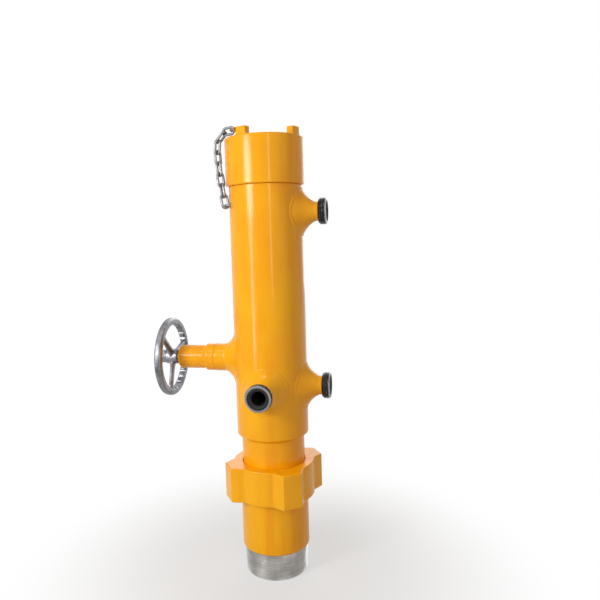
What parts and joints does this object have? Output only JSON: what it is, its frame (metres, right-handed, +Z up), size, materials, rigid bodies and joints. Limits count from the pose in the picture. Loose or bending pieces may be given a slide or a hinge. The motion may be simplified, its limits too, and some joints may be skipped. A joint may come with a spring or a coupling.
{
  "type": "cementing head",
  "caption": "Tall plug container with a screwed cap on a chain, side union outlets, a stop pin worked by a handwheel, and a wing-nut union above a threaded casing nipple.",
  "frame": {"origin": "middle of the casing nipple's lower end, on the bore axis", "axes": "+Z up along the bore, +X along the two side outlets, -Y along the front outlet, the handwheel on -X"},
  "size_m": [0.679, 0.4018, 1.6849],
  "materials": {
    "yellow_enamel": "glossy golden yellow enamel over steel",
    "black_union": "black coated threads with worn edges",
    "seal_rubber": "dull black rubber",
    "zinc_wire": "zinc-plated steel",
    "wheel_chrome": "polished bright metal",
    "stem_steel": "turned steel",
    "bare_thread": "bare machined steel"
  },
  "bodies": {
    "head": {"container_body": "yellow_enamel", "top_cap": "yellow_enamel", "cap_lug_right": "yellow_enamel", "cap_lug_back": "yellow_enamel", "cap_lug_left": "yellow_enamel", "cap_lug_front": "yellow_enamel", "upper_outlet_boss": "yellow_enamel", "lower_outlet_boss": "yellow_enamel", "front_outlet_boss": "yellow_enamel", "stop_pin_boss": "yellow_enamel", "gland_collar": "yellow_enamel", "stem_bonnet": "yellow_enamel", "union_neck": "yellow_enamel", "wing_nut": "yellow_enamel", "union_sub": "yellow_enamel", "upper_outlet_union": "black_union", "lower_outlet_union": "black_union", "front_outlet_union": "black_union", "upper_outlet_seal": "seal_rubber", "lower_outlet_seal": "seal_rubber", "front_outlet_seal": "seal_rubber", "cap_chain_eye": "zinc_wire", "body_chain_eye": "zinc_wire", "safety_chain": "zinc_wire", "casing_nipple": "bare_thread"},
    "stop_pin": {"stop_pin": "stem_steel"},
    "handwheel": {"handwheel": "wheel_chrome", "hub_washer": "wheel_chrome", "hub_nut": "wheel_chrome"}
  },
  "joints": [
    {"name": "pin_slide", "type": "slide", "parent": "head", "child": "stop_pin", "axis": [-1, 0, 0], "range_m": [0, 0.114]},
    {"name": "handwheel_turn", "type": "hinge", "parent": "stop_pin", "child": "handwheel", "pos_m": [-0.4, 0, 0.833], "axis": [-1, 0, 0], "range_deg": [0, 3420]}
  ],
  "couplings": [
    {"joint": "pin_slide", "follows": "handwheel_turn", "m_per_rad": 0.0019099}
  ]
}
